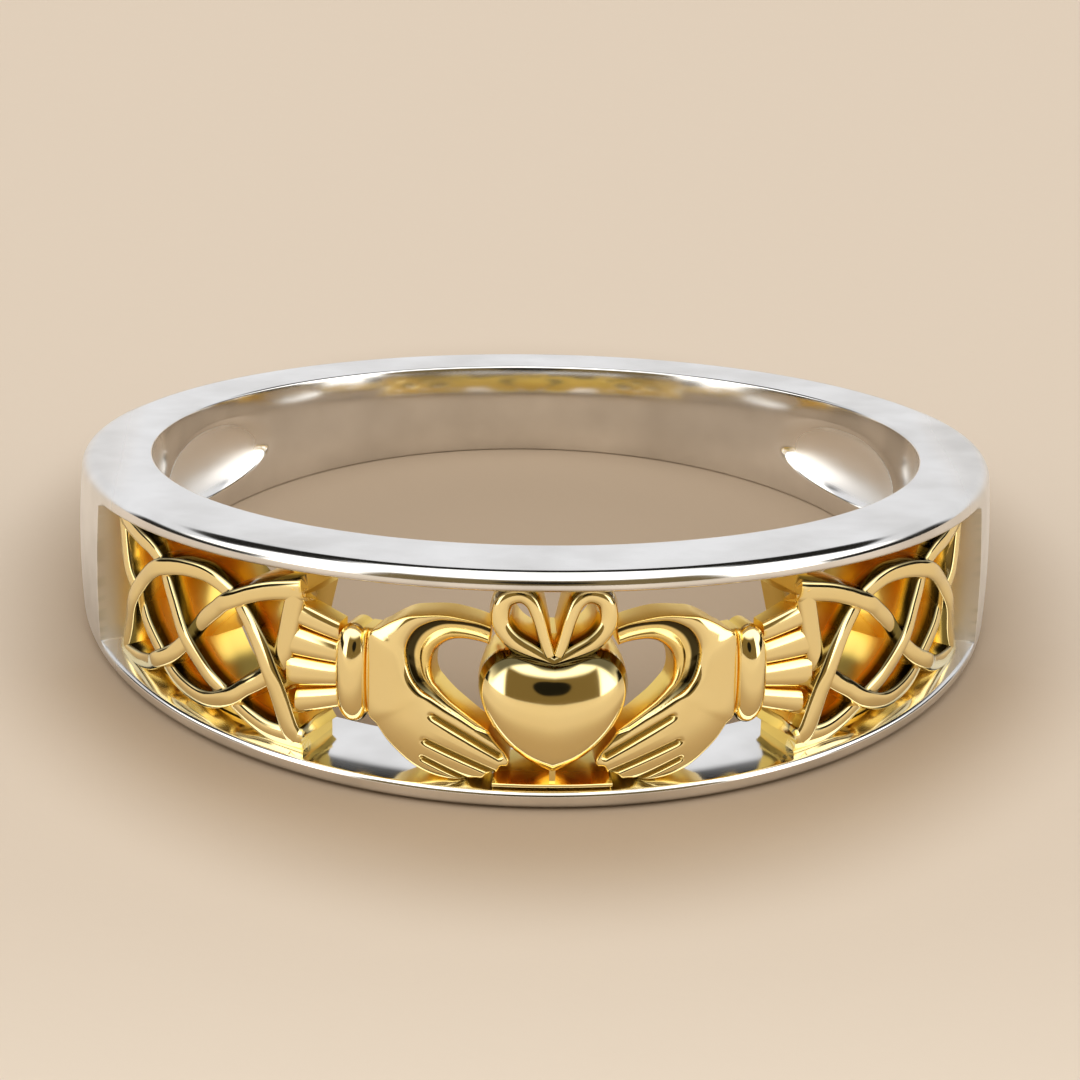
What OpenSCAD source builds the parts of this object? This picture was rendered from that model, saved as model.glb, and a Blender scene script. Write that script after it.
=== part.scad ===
// Two-tone claddagh ring, lying on its lower side face.
// A silver band with a window between two rails holds gold pieces:
// two interlaced knot panels, two cuffed hands, a heart and a crown.
// Angles run round the finger hole from the front, which faces -Y, towards +X.

/* [Finger hole] */
// Diameter of the finger hole
bore_d = 17.3; // [15.6:0.1:19.8]

/* [Band] */
// Thickness of the band at the front
front_wall = 2.4; // [2.2:0.05:2.8]
// Thickness of the band at its sides
side_wall = 1.7; // [1.6:0.05:2.1]
// Thickness of the band at the back
back_wall = 1.85; // [1.2:0.05:2.2]
// Height of the band at the front
front_height = 5.3; // [4.9:0.05:6]
// Height of the band at the back
back_height = 1.9; // [1.7:0.05:2.6]
// Rounding of the band's outer edges
edge_round = 0.32; // [0.15:0.01:0.4]
// Bulge of the band's outer face at its middle height
belly = 0.06; // [0.02:0.01:0.12]

/* [Window] */
// Height of each rail above and below the window
rail_height = 0.48; // [0.4:0.01:0.6]
// Angle from the front to each end of the window
window_angle = 69.5; // [68.5:0.5:75]

/* [Scoops] */
// Angle from the front to the middle of each scoop
scoop_angle = 118; // [112:1:126]
// Length of a scoop along the inner wall
scoop_length = 4.8; // [3.6:0.1:5.4]
// Height of a scoop
scoop_height = 1.75; // [1.2:0.05:1.9]
// Depth of a scoop
scoop_depth = 0.45; // [0.2:0.01:0.6]

/* [Gold] */
// Gap that the gold pieces keep from the silver and from each other
gap = 0.03; // [0.02:0.005:0.05]
// How far the knots lie behind the band's outer face
knot_recess = 0.3; // [0.2:0.01:0.5]
// Depth of the gold from its front to its back
gold_depth = 1.3; // [1:0.05:1.4]
// Space between a knot's far corners and the window's end
knot_end = 0.65; // [0.3:0.05:1]
// Width of a knot's strand
strand_w = 0.42; // [0.34:0.01:0.46]
// Rise of a strand where it passes over another, and its drop where it passes under
strand_lift = 0.09; // [0.04:0.01:0.14]
// Thickness of the knot panels' border strips
border = 0.14; // [0.1:0.01:0.2]

/* [Sleeves and cuffs] */
// Angle from the front to each wrist
wrist_angle = 21.1; // [20:0.1:22]
// Height of a cuff
cuff_height = 2.2; // [1.9:0.05:2.4]
// Length of a sleeve between its cuff and the knot's corners
sleeve_length = 0.78; // [0.65:0.01:0.95]
// Width of the collar between a cuff and its hand
collar_w = 0.14; // [0.08:0.01:0.2]
// Width of a cuff along the band
cuff_w = 0.68; // [0.5:0.01:0.8]
// How far the cuffs stand proud of the knots
cuff_rise = 0.12; // [0:0.01:0.25]

/* [Hands] */
// Width of the thumb, as a share of the window's half height
thumb_share = 0.26; // [0.22:0.01:0.29]
// Width of the first finger, as a share of the window's half height
finger_share = 0.24; // [0.22:0.01:0.26]
// How far the palm stands proud of the knots
palm_rise = 0.2; // [0.05:0.01:0.3]

/* [Heart] */
// Width of the heart
heart_w = 3.2; // [2.9:0.05:3.4]
// Height of the heart
heart_h = 2.68; // [2.4:0.02:2.8]
// How far the heart's middle stands proud of the band's outer face
heart_proud = 0.3; // [0.1:0.01:0.45]

/* [Crown] */
// Width of the crown
crown_w = 2.8; // [2.5:0.05:3]
// Greatest width of the crown's strands
leaf_w = 0.42; // [0.34:0.01:0.46]

/* [Hidden] */

silver = "silver";
gold = "gold";
band_facets = 84;
round_facets = 96;
far = 3 * bore_d;
one_degree = PI / 180;

bore_r = bore_d / 2;
front_r = bore_r + front_wall;
side_r = bore_r + side_wall;
back_r = bore_r + back_wall;

// The two side faces close towards the back, each by half of the whole taper.
taper = (front_height - back_height) / 2 / (front_r + back_r);
half_taper = atan(taper);
window_top = front_height / 2 - rail_height;

// The heart's tip and middle, on the front's middle line. The middle is a share of its height.
heart_low = 0.885;
heart_middle = 0.58;
heart_tip_z = -heart_low * (window_top - gap);
heart_centre = [0, heart_tip_z + heart_middle * heart_h];
heart_notch = 0.9;
heart_notch_z = heart_tip_z + heart_notch * heart_h;

// The floor touches the lower face. The whole is centred on its own length along Y.
rest_drop = (front_height / 2 - taper * front_r) * cos(half_taper);
front_reach = (front_r + heart_proud) * cos(half_taper) - heart_centre[1] * sin(half_taper);
back_reach = (back_r + belly) * cos(half_taper);
centre_y = (front_reach - back_reach) / 2;

// The outer face's radius at angle a, and the side faces' height at y
function outer_r(a) = side_r + (cos(a) > 0 ? front_r - side_r : back_r - side_r) * pow(cos(a), 2);
function face_z(y) = front_height / 2 - taper * (y + front_r);
function window_z(y) = face_z(y) - rail_height;

// A point at angle a and radius r, at the height z or at the share v of the window's half height
function spot(a, r, z) = [r * sin(a), -r * cos(a), z];
function spot_v(a, r, v) = spot(a, r, v * (window_z(-r * cos(a)) - gap));

// The angle that a length covers at a radius
function arc_angle(length, r) = length / r / one_degree;

// From the wrist outwards: the cuff, the sleeve, and the knot up to the window's end
cuff_near = wrist_angle + arc_angle(collar_w, front_r);
cuff_far = cuff_near + arc_angle(cuff_w, front_r);
knot_angle = cuff_far + arc_angle(sleeve_length, front_r);
knot_columns = 6;
knot_pitch = (window_angle - arc_angle(knot_end, side_r) - knot_angle) / knot_columns;

// Front and back of the gold at angle a.
// The pieces are made a little too deep, and one cut trims their backs.
overcut = 0.2;
function gold_top(a) = outer_r(a) - knot_recess;
function gold_back(a) = max(gold_top(a) - gold_depth, bore_r + gap);
function gold_deep(a) = gold_back(a) - overcut;

// A smooth curve through rows of any length, with steps points from each row to the next
function blend(p0, p1, p2, p3, t) =
    0.5 * (2 * p1 + (p2 - p0) * t + (2 * p0 - 5 * p1 + 4 * p2 - p3) * t * t
    + (3 * p1 - p0 - 3 * p2 + p3) * t * t * t);
function row(rows, i) =
    i < 0 ? 2 * rows[0] - rows[1] :
    i >= len(rows) ? 2 * rows[len(rows) - 1] - rows[len(rows) - 2] : rows[i];
function smooth(rows, steps) = [
    for (i = [0 : len(rows) - 2], k = [0 : steps - 1])
        blend(row(rows, i - 1), row(rows, i), row(rows, i + 1), row(rows, i + 2), k / steps),
    rows[len(rows) - 1]];

// Faces of a closed body between two rings of n points
function link_faces(n) = concat(
    [[for (i = [0 : n - 1]) n - 1 - i], [for (i = [0 : n - 1]) n + i]],
    [for (i = [0 : n - 1]) [i, (i + 1) % n, n + (i + 1) % n, n + i]]);

// The hull of two rings of points
module link(ring_a, ring_b) {
    hull() polyhedron(concat(ring_a, ring_b), link_faces(len(ring_a)));
}

// A chain of links through a list of rings
module chain(rings) {
    for (i = [0 : len(rings) - 2]) link(rings[i], rings[i + 1]);
}

// A strand's section, as shares of its width: its top is narrower than its foot, and its flanks slope
foot_half = 0.55;
strand_side = [[-foot_half, -0.65], [-0.3, 0], [0.3, 0], [foot_half, -0.65]];

// The ring of a strand at a path point [angle, height, width, lift].
// It lies across the heading [along, up], in millimetres on the gold's front.
function strand_ring(p, heading, base_r) =
    let (
        side = p[2] * [-heading[1], heading[0]] / norm(heading),
        top = base_r + p[3],
        section = concat(
            [for (s = strand_side) [s[0], top + s[1] * p[2]]],
            [[foot_half, gold_deep(p[0])], [-foot_half, gold_deep(p[0])]]))
    [for (s = section) spot(p[0] + arc_angle(side[0] * s[0], top), s[1], p[1] + side[1] * s[0])];
function heading(path, i) =
    let (a = path[max(i - 1, 0)], b = path[min(i + 1, len(path) - 1)])
    [(b[0] - a[0]) * one_degree * gold_top(path[i][0]), b[1] - a[1]];
function strand_rings(path) = [
    for (i = [0 : len(path) - 1]) strand_ring(path[i], heading(path, i), gold_top(path[i][0]))];

// Lays the ring down on its lower side face
module laid() {
    translate([0, centre_y, rest_drop]) rotate([-half_taper, 0, 0]) children();
}

module mirrored(side) {
    if (side < 0) mirror([1, 0, 0]) children();
    else children();
}

// The space between the side faces, each moved in by an inset
module between_faces(inset) {
    intersection_for (way = [1, -1]) {
        translate([0, 0, way * (face_z(0) - inset)])
            rotate([-way * half_taper, 0, 0])
                translate([-far, -far, way > 0 ? -2 * far : 0]) cube(2 * far);
    }
}

// The window's space, shrunk by a clearance on its ends and rails
module window_space(clearance) {
    a = window_angle - arc_angle(clearance, side_r);
    intersection() {
        between_faces(rail_height + clearance);
        translate([0, 0, -far]) linear_extrude(2 * far)
            polygon([[0, 0], far * [sin(a), -cos(a)], [far, -far], [-far, -far], far * [-sin(a), -cos(a)]]);
    }
}

// The space that the gold may fill: the window, kept clear of the rails and open to the front
back_step = 3;
module gold_space() {
    steps = ceil((window_angle + back_step) / back_step);
    difference() {
        window_space(gap);
        translate([0, 0, -far]) linear_extrude(2 * far)
            polygon(concat([[0, 0]], [for (i = [-steps : steps])
                let (a = i * back_step, r = gold_back(a)) [r * sin(a), -r * cos(a)]]));
    }
}

// Depth in from the outer face and distance down from the side face, over an outer corner
corner_steps = 4;
corner = [
    for (i = [0 : corner_steps])
        let (a = 90 * i / corner_steps) edge_round * [1 - sin(a), 1 - cos(a)]];
// Shares of the half height at which the bulged face has its rows
belly_rows = [0.5, 0, -0.5];

function corner_spot(a, c, way) =
    let (r = outer_r(a) - c[0]) spot(a, r, way * (face_z(-r * cos(a)) - c[1]));
function belly_spot(a, f) =
    let (r = outer_r(a) + belly * (1 - f * f)) spot(a, r, f * face_z(-r * cos(a)));
function band_side(a) = concat(
    [for (i = [0 : corner_steps]) corner_spot(a, corner[i], 1)],
    [for (f = belly_rows) belly_spot(a, f)],
    [for (i = [corner_steps : -1 : 0]) corner_spot(a, corner[i], -1)]);

// The band's outer form before it is pierced
module band_blank() {
    sides = [for (i = [0 : band_facets - 1]) band_side(360 * i / band_facets)];
    n = len(sides[0]);
    faces = concat(
        [[for (i = [band_facets - 1 : -1 : 0]) i * n]],
        [[for (i = [0 : band_facets - 1]) i * n + n - 1]],
        [for (i = [0 : band_facets - 1], j = [0 : n - 2], half = [0, 1])
            let (k = ((i + 1) % band_facets) * n, m = i * n)
            half == 0 ? [m + j, k + j, k + j + 1] : [m + j, k + j + 1, m + j + 1]]);
    polyhedron([for (s = sides, p = s) p], faces);
}

// An oval hollow in the inner wall. Its ball is flattened so that it meets the wall in the named oval.
scoop_back = 1.0;
scoop_reach = scoop_back + scoop_depth;
scoop_fall = pow(scoop_length / 2, 2) / 2 / bore_r;
scoop_a = scoop_length / 2 / sqrt(1 - pow((scoop_back - scoop_fall) / scoop_reach, 2));
scoop_b = scoop_height / 2 / sqrt(1 - pow(scoop_back / scoop_reach, 2));
module scoop(side) {
    rotate(side * scoop_angle - 90) translate([bore_r - scoop_back, 0, 0])
        scale([scoop_reach, scoop_a, scoop_b]) sphere(r = 1, $fn = 48);
}

module band() {
    color(silver) laid() difference() {
        band_blank();
        translate([0, 0, -far]) cylinder(h = 2 * far, d = bore_d, $fn = round_facets);
        window_space(0);
        for (side = [1, -1]) scoop(side);
    }
}

// The knot's two arcs, each from one pointed corner to another. The other two are these turned over.
// The weave sags a little below the window's middle.
// [columns from the sleeve, share of the window's half height, sag, passes over 1 or under -1]
rim_arc = [
    [0.2, 0.86, 0.07, 0], [0.36, 0.63, 0.16, -0.5], [0.58, 0.23, 0.22, -0.8], [0.78, 0, 0.2, -1],
    [1.1, -0.24, 0.12, -0.5], [1.45, -0.42, 0.08, 0.3], [1.87, -0.6, 0.08, 1], [2.5, -0.75, 0.08, 0.6],
    [3.15, -0.76, 0.08, 0.2], [3.7, -0.71, 0.08, -0.4], [4.2, -0.6, 0.07, -1], [4.8, -0.32, 0.06, -0.7],
    [5.27, 0, 0.09, -1], [5.7, 0.4, 0.15, 0], [6, 0.96, 0.04, 0]];
cross_arc = [
    [6, 0.97, 0.04, 0], [5.5, 0.91, 0.05, 0], [5, 0.85, 0.05, 0], [4.55, 0.76, 0.04, -0.4],
    [4.2, 0.61, 0.07, -1], [3.65, 0.33, 0.14, 0], [3.13, 0, 0.16, 1], [2.6, -0.32, 0.18, 0],
    [2.2, -0.49, 0.16, -0.5], [1.87, -0.61, 0.14, -1], [1.35, -0.73, 0.12, -0.4], [0.8, -0.81, 0.1, 0],
    [0.05, -0.84, 0.05, 0]];
// The strands swell towards the near corners: by this share of their width, over so many columns
near_swell = 0.3;
near_reach = 1.5;
knot_steps = 2;

// Turns an arc over, and its overs into unders. The sag stays.
function turned(rows) = [for (r = rows) [r[0], -r[1], r[2], -r[3]]];
function knot_path(rows) = [
    for (r = smooth(rows, knot_steps))
        let (
            a = knot_angle + r[0] * knot_pitch,
            swell = 1 + near_swell * max(1 - r[0] / near_reach, 0))
        [a, (r[1] - r[2]) * (window_z(-gold_top(a) * cos(a)) - gap), strand_w * swell, strand_lift * r[3]]];

// Border strips along the rails, and the knot's end walls: a thick one under the near corners
// and a thin one at the window's end
border_step = 5;
wall_w = 0.3;
wall_inset = 0.25;
wall_start = knot_angle + arc_angle(wall_inset, front_r);
wall_end = wall_start + arc_angle(wall_w, front_r);
wall_drop = 0.42;
border_end = window_angle + arc_angle(overcut, side_r);
border_inner_end = window_angle - arc_angle(gap + border, side_r);
function border_ring(a, way) =
    let (
        front = gold_top(a) - wall_drop,
        inner = way * (window_z(-front * cos(a)) - gap - border),
        z = inner + way * (border + overcut))
    [spot(a, gold_deep(a), z), spot(a, front, z), spot(a, front, inner), spot(a, gold_deep(a), inner)];
function wall_ring(a) =
    let (front = gold_top(a) - wall_drop, z = window_z(-front * cos(a)) + overcut)
    [spot(a, gold_deep(a), z), spot(a, front, z), spot(a, front, -z), spot(a, gold_deep(a), -z)];
module knot_border() {
    count = ceil((border_end - wall_start) / border_step);
    angles = [for (i = [0 : count]) wall_start + (border_end - wall_start) * i / count];
    for (way = [1, -1]) chain([for (a = angles) border_ring(a, way)]);
    chain([for (a = [wall_start, wall_end]) wall_ring(a)]);
    chain([for (a = [border_inner_end, border_end]) wall_ring(a)]);
}

// A pleated sleeve: flutes that fan from the knot's notch to the cuff.
// [angle past the knot's corners, shares of the cuff's half height there, the same at the cuff]
flutes = [
    [1.6, 1.16, 0.68, 0.86, 0.47], [2.8, 0.62, 0.03, 0.43, 0.02],
    [2.8, -0.03, -0.62, -0.02, -0.43], [1.6, -0.68, -1.16, -0.47, -0.86]];
flute_drop = 0.22;
flute_crown = 0.14;
flute_arc = [[0, 0], [0.22, 0.75], [0.5, 1], [0.78, 0.75], [1, 0]];
function flute_ring(a, z0, z1, drop) = concat(
    [for (s = flute_arc) spot(a, gold_top(a) - drop + flute_crown * (s[1] - 1), z0 + (z1 - z0) * s[0])],
    [spot(a, gold_top(a) - gold_depth / 2, z1), spot(a, gold_top(a) - gold_depth / 2, z0)]);
module sleeve() {
    for (f = flutes)
        link(
            flute_ring(cuff_far + arc_angle(gap, front_r),
                f[3] * cuff_height / 2, f[4] * cuff_height / 2, flute_drop),
            flute_ring(knot_angle + f[0], f[1] * cuff_height / 2, f[2] * cuff_height / 2, flute_drop / 2));
}

module knot(side) {
    color(gold) laid() mirrored(side) intersection() {
        gold_space();
        union() {
            for (rows = [rim_arc, cross_arc, turned(rim_arc), turned(cross_arc)])
                chain(strand_rings(knot_path(rows)));
            knot_border();
            sleeve();
        }
    }
}

// A domed ring across the piece at angle a, from height z0 to z1, with its rim and crown at two radii
dome_steps = 6;
function domed_ring(a, z0, z1, rim_r, dome, deep_r) = concat(
    [for (i = [0 : dome_steps])
        let (t = -cos(180 * i / dome_steps))
        spot(a, rim_r + dome * sqrt(max(1 - t * t, 0)), (z0 + z1) / 2 + t * (z1 - z0) / 2)],
    [spot(a, deep_r, z1), spot(a, deep_r, z0)]);

// The cuff is a round bar across the wrist, with a thin collar on its hand side.
// [share of the half height, share of the width]
cuff_rows = [[-1, 0.5], [-0.93, 0.82], [-0.75, 1], [0.75, 1], [0.93, 0.82], [1, 0.5]];
cuff_side = 0.15;
collar_share = 0.86;
// Angles by which the collar laps under the palm and under the cuff
collar_laps = [0.2, 1];
function bar_ring(v, w) =
    let (
        middle = (cuff_near + cuff_far) / 2,
        half = w * (cuff_far - cuff_near) / 2,
        rim = gold_top(middle) - cuff_side,
        z = v * cuff_height / 2)
    concat(
        [for (i = [0 : 6])
            let (t = -cos(30 * i))
            spot(middle + t * half, rim + (cuff_side + cuff_rise) * w * sqrt(1 - t * t), z)],
        [spot(middle + half, gold_deep(middle), z), spot(middle - half, gold_deep(middle), z)]);
module cuff() {
    chain([for (r = cuff_rows) bar_ring(r[0], r[1])]);
    collar = collar_share * cuff_height / 2;
    chain([for (a = [wrist_angle - collar_laps[0], cuff_near + collar_laps[1]])
        domed_ring(a, -collar, collar, gold_top(a) - cuff_side, cuff_side, gold_deep(a))]);
}

// The palm from the wrist to the roots of the fingers.
// [share of the wrist's angle, lower and upper edge as shares of the window's half height]
palm_rows = [
    [1, -0.41, 0.41], [0.93, -0.56, 0.49], [0.86, -0.71, 0.56], [0.79, -0.83, 0.63], [0.73, -0.91, 0.66],
    [0.68, -0.95, 0.1]];
thumb_w = thumb_share * window_top;
finger_w = finger_share * window_top;
// The thumb's middle line, round the hollow from the root of the first finger to the heart.
// [share of the wrist's angle, of the half height, of the thumb's width, of the palm's rise]
thumb_rows = [
    [0.58, -0.27, 0.6, -0.2], [0.64, -0.14, 0.78, 0.2], [0.7, 0, 0.88, 0.4], [0.72, 0.17, 0.92, 0.5],
    [0.715, 0.35, 0.94, 0.5], [0.665, 0.49, 0.94, 0.5], [0.57, 0.555, 0.98, 0.5], [0.47, 0.555, 0.98, 0.4],
    [0.4, 0.53, 0.86, 0.2], [0.335, 0.5, 0.6, 0]];
// The fingers' middle lines, from the first to the last.
// [root and tip as shares, share of the finger's width at its root, the tip's share of that]
finger_rows = [
    [[0.62, -0.24], [0.22, -0.7], 0.94, 0.84], [[0.7, -0.415], [0.29, -0.8], 1, 0.8],
    [[0.72, -0.635], [0.385, -0.915], 0.86, 0.88], [[0.7, -0.85], [0.49, -0.98], 0.64, 0.9]];
// Along a finger: [share of its length, share of its width, share of its drop]
finger_stations = [[0, 1, 0], [0.5, 1, 0.4], [0.85, 0.92, 0.8], [0.95, 0.8, 1], [1, 0.5, 1.6]];
finger_drop = 0.12;

function hand_z(v) = v * (window_top - gap);
module palm() {
    chain([for (p = palm_rows)
        let (a = p[0] * wrist_angle)
        domed_ring(a, hand_z(p[1]), hand_z(p[2]), gold_top(a) - 0.1, 0.1 + palm_rise, gold_deep(a))]);
}
module thumb() {
    chain(strand_rings([for (t = smooth(thumb_rows, 2))
        [t[0] * wrist_angle, hand_z(t[1]), thumb_w * t[2], palm_rise * t[3]]]));
}
module finger(f) {
    chain(strand_rings([for (s = finger_stations)
        let (at = f[0] + (f[1] - f[0]) * s[0])
        [at[0] * wrist_angle, hand_z(at[1]), finger_w * f[2] * s[1] * (1 + (f[3] - 1) * s[0]),
            palm_rise / 2 - finger_drop * s[2]]]));
}

module hand(side) {
    color(gold) laid() mirrored(side) difference() {
        intersection() {
            gold_space();
            union() {
                cuff();
                palm();
                thumb();
                for (f = finger_rows) finger(f);
            }
        }
        heart_body(gap);
        heart_seat(gap);
        crown_pocket();
    }
}

// Right half of the heart's outline from the notch to the tip.
// [share of half the width, share of the height from the tip]
heart_half = [
    [0, heart_notch], [0.2, 0.95], [0.42, 0.99], [0.64, 1], [0.83, 0.945], [0.955, 0.84], [1, 0.7],
    [0.97, 0.55], [0.86, 0.39], [0.69, 0.25], [0.48, 0.135], [0.24, 0.045], [0, 0]];
heart_steps = 2;
heart_rim_drop = 0.12;
// Shares of the way from the heart's middle to its edge, and of the dome's height there
heart_dome = [[1, 0], [0.93, 0.4], [0.8, 0.64], [0.6, 0.84], [0.35, 0.96], [0, 1]];

function heart_spot(q, r) = spot(arc_angle(q[0], front_r), r, q[1]);
function heart_edge(grow) =
    let (half = smooth(heart_half, heart_steps), last = len(half) - 1)
    [for (side = [1, -1], i = side > 0 ? [0 : last] : [last - 1 : -1 : 1])
        let (
            p = [side * half[i][0] * heart_w / 2, heart_tip_z + half[i][1] * heart_h],
            out = p - heart_centre)
        p + grow * out / norm(out)];
function heart_top(share) =
    let (rim = gold_top(0) - heart_rim_drop) rim + share * (front_r + heart_proud - rim);

// How far a pocket runs past the front and the back of what it cuts
function pocket_reach(grow) = grow > 0 ? front_wall : 0;

// The heart is made of wedges from its middle to its edge. Grown, it is the pocket in its neighbours.
module heart_body(grow) {
    edge = heart_edge(grow);
    reach = pocket_reach(grow);
    for (i = [0 : len(edge) - 1]) {
        pair = [edge[i], edge[(i + 1) % len(edge)]];
        rims = [for (p = pair, d = heart_dome)
            heart_spot(heart_centre + d[0] * (p - heart_centre), heart_top(d[1]) + reach)];
        deep = [for (q = [pair[0], pair[1], heart_centre]) heart_spot(q, gold_deep(0) - reach)];
        points = concat(rims, deep);
        hull() polyhedron(points, [[for (k = [0 : len(points) - 1]) k]]);
    }
}

// The bar under the heart's tip, on the lower rail, and the stem between them
seat_angle = 6.6;
seat_height = 0.12;
seat_drop = 0.3;
stem_w = 0.2;
stem_share = 0.25;
// A ring across the motif at angle a, from height z0 to z1.
// It runs from the gold's back to a drop behind its front.
function slab_ring(a, z0, z1, drop, reach) =
    [for (c = [[z0, 0], [z0, 1], [z1, 1], [z1, 0]])
        spot(a, c[1] > 0 ? gold_top(a) - drop + reach : gold_deep(a) - reach, c[0])];
module heart_seat(grow) {
    side = seat_angle + arc_angle(grow, front_r);
    stem = arc_angle(stem_w / 2 + grow, front_r);
    floor_z = -window_top + gap;
    reach = pocket_reach(grow);
    chain([for (i = [-2 : 2])
        slab_ring(side * i / 2, floor_z - overcut, floor_z + seat_height + grow, seat_drop, reach)]);
    chain([for (a = [-stem, stem])
        slab_ring(a, floor_z - overcut, heart_tip_z + stem_share * heart_h, seat_drop / 2, reach)]);
}
module heart() {
    color(gold) laid() intersection() {
        gold_space();
        union() {
            heart_body(0);
            heart_seat(0);
        }
    }
}

// Right leaf loop of the crown, round from its foot in the heart's notch.
// [share of half the width, of the way from the notch to the window's top, of the strand's width]
leaf_rows = [
    [0, 0, 0.8], [0.42, 0.16, 1], [0.76, 0.31, 1], [0.97, 0.5, 1], [1, 0.7, 1], [0.89, 0.87, 0.95],
    [0.64, 0.93, 0.88], [0.43, 0.84, 0.76], [0.3, 0.63, 0.66], [0.2, 0.38, 0.62], [0.09, 0.12, 0.62]];
leaf_steps = 2;
leaf_lift = 0.05;
crown_half = (crown_w - leaf_w) / 2;
function crown_z(v) = heart_notch_z + v * (window_top - gap - heart_notch_z);
leaf_path = [
    for (l = smooth(leaf_rows, leaf_steps))
        [arc_angle(l[0] * crown_half, front_r), crown_z(l[1]), leaf_w * l[2], leaf_lift]];

// The thin web between the leaves' inner strands, and the bar along the upper rail.
// [lower and upper edge as shares of the way up from the notch, share of half the crown's width]
web_rows = [[0, 0.36, 0.2], [0.93, 1.07, 0.6]];
web_drop = 0.35;
module crown_web() {
    for (w = web_rows) {
        half = arc_angle(w[2] * crown_half, front_r);
        chain([for (a = [-half, half]) slab_ring(a, crown_z(w[0]), crown_z(w[1]), web_drop, 0)]);
    }
}
module leaves() {
    for (side = [1, -1]) mirrored(side) chain(strand_rings(leaf_path));
}
// The space that the hands leave for the crown: slabs across both leaves, with a gap round them
module crown_pocket() {
    for (p = leaf_path) {
        half = foot_half * p[2] + gap;
        a = p[0] + arc_angle(half, front_r);
        chain([for (side = [-1, 1]) slab_ring(side * a, p[1] - half, p[1] + half, 0, pocket_reach(gap))]);
    }
}
module crown() {
    color(gold) laid() difference() {
        intersection() {
            gold_space();
            union() {
                leaves();
                crown_web();
            }
        }
        heart_body(gap);
    }
}

band();
knot(-1);  // knot_left
knot(1);  // knot_right
hand(-1);  // hand_left
hand(1);  // hand_right
heart();
crown();
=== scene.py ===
import math

import bmesh
import bpy
import numpy as np
from mathutils import Matrix, Vector


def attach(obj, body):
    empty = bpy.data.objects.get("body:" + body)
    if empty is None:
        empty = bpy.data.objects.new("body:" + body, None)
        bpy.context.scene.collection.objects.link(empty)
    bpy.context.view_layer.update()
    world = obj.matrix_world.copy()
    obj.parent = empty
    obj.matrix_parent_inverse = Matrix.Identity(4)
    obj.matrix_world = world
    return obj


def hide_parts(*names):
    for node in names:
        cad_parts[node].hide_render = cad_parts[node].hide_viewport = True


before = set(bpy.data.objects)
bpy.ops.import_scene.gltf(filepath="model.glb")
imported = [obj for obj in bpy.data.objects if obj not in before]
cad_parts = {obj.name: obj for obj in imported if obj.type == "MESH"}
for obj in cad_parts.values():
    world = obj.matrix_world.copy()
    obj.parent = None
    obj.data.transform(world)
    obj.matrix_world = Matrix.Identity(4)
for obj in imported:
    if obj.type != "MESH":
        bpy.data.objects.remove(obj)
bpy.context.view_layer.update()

print("frame loaded:", ", ".join(sorted(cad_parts)))

# The ring in millimetres. Angles are degrees round the finger hole from the front, which faces -Y, towards +X.
ringSizes = {
    "holeRadius": 8.65, "frontRadius": 11.05, "sideRadius": 10.35, "backRadius": 10.5,
    "frontHeight": 5.3, "backHeight": 1.9, "railHeight": 0.48, "windowAngle": 69.5,
    "gap": 0.03, "goldRecess": 0.3, "goldDepth": 1.3, "heartProud": 0.3, "belly": 0.06,
    "heartLow": 0.885, "heartHeight": 2.68, "heartMiddle": 0.58, "heartNotch": 0.9,
}
ring = ringSizes
taper = (ring["frontHeight"] - ring["backHeight"]) / 2 / (ring["frontRadius"] + ring["backRadius"])
halfTaper = math.atan(taper)
windowTop = ring["frontHeight"] / 2 - ring["railHeight"]
goldHalfHeight = windowTop - ring["gap"]
heartTipHeight = -ring["heartLow"] * goldHalfHeight
heartMiddleHeight = heartTipHeight + ring["heartMiddle"] * ring["heartHeight"]
notchHeight = heartTipHeight + ring["heartNotch"] * ring["heartHeight"]


def outerRadius(angle):
    # the side radius, and from there to the front or back radius by the square of the cosine
    c = np.cos(np.radians(angle))
    end = np.where(c > 0, ring["frontRadius"], ring["backRadius"])
    return ring["sideRadius"] + (end - ring["sideRadius"]) * c * c


def faceHeight(angle, radius):
    # half the front height, less the taper times the distance back from the front
    y = -radius * np.cos(np.radians(angle))
    return ring["frontHeight"] / 2 - taper * (y + ring["frontRadius"])


def windowHeight(angle, radius):
    return faceHeight(angle, radius) - ring["railHeight"]


def goldFront(angle):
    return outerRadius(angle) - ring["goldRecess"]


def goldBack(angle, depth):
    # the front less a depth, but never nearer to the hole than the gap
    return np.maximum(goldFront(angle) - depth, ring["holeRadius"] + ring["gap"])


def arcAngle(length, radius):
    return np.degrees(length / radius)


def onRing(angle, radius, height):
    # (radius sin a, -radius cos a, height), leant back by half the taper, on the floor, in metres
    a = np.radians(angle)
    x, y, z = np.broadcast_arrays(radius * np.sin(a), -radius * np.cos(a), height)
    c, s = math.cos(halfTaper), math.sin(halfTaper)
    restDrop = (ring["frontHeight"] / 2 - taper * ring["frontRadius"]) * c
    frontReach = (ring["frontRadius"] + ring["heartProud"]) * c - heartMiddleHeight * s
    backReach = (ring["backRadius"] + ring["belly"]) * c
    middleY = (frontReach - backReach) / 2
    return np.stack([x, y * c + z * s + middleY, -y * s + z * c + restDrop], -1) / 1000


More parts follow.
